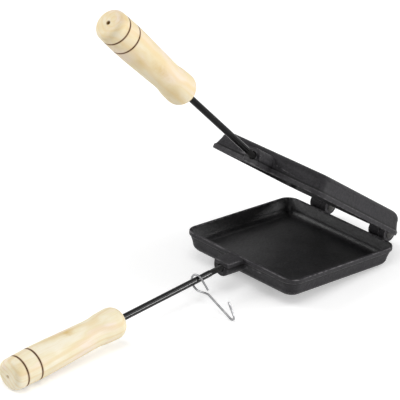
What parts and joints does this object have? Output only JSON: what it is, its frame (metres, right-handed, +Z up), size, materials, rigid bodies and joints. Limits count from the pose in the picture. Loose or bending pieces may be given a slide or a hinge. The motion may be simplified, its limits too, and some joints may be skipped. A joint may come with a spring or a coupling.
{
  "type": "camping sandwich iron",
  "caption": "Hinged square cast-iron pans for toasting a sandwich over a fire, each on a steel rod with a turned wooden grip, and a wire latch on the lower rod.",
  "frame": {"origin": "on the resting surface, under the middle of the standing iron's outline", "axes": "+Z up; +X along the hinge, to the right as seen from the grips; +Y from the grips to the hinge"},
  "size_m": [0.126, 0.3884, 0.2818],
  "materials": {
    "cast_iron": "satin, as cast, seasoned black",
    "blacked_steel": "blacked and polished",
    "pin_steel": "dull, blacked",
    "turned_wood": "sanded, bare or thinly waxed, with burned rings",
    "bright_wire": "bright, zinc plated"
  },
  "bodies": {
    "lower_half": {"lower_pan": "cast_iron", "lower_rod": "blacked_steel", "lower_grip": "turned_wood", "left_hinge_pin": "pin_steel", "right_hinge_pin": "pin_steel"},
    "upper_half": {"upper_pan": "cast_iron", "upper_rod": "blacked_steel", "upper_grip": "turned_wood"},
    "latch": {"latch_hook": "bright_wire"}
  },
  "joints": [
    {"name": "pan_hinge", "type": "hinge", "parent": "lower_half", "child": "upper_half", "pos_m": [0, 0.18703, 0.01591], "axis": [-1, 0, 0], "range_deg": [-31, 137]},
    {"name": "latch_swing", "type": "hinge", "parent": "lower_half", "child": "latch", "pos_m": [0, 0.00611, 0.02255], "axis": [0, -0.9988, -0.0493], "range_deg": [0, 105]}
  ]
}
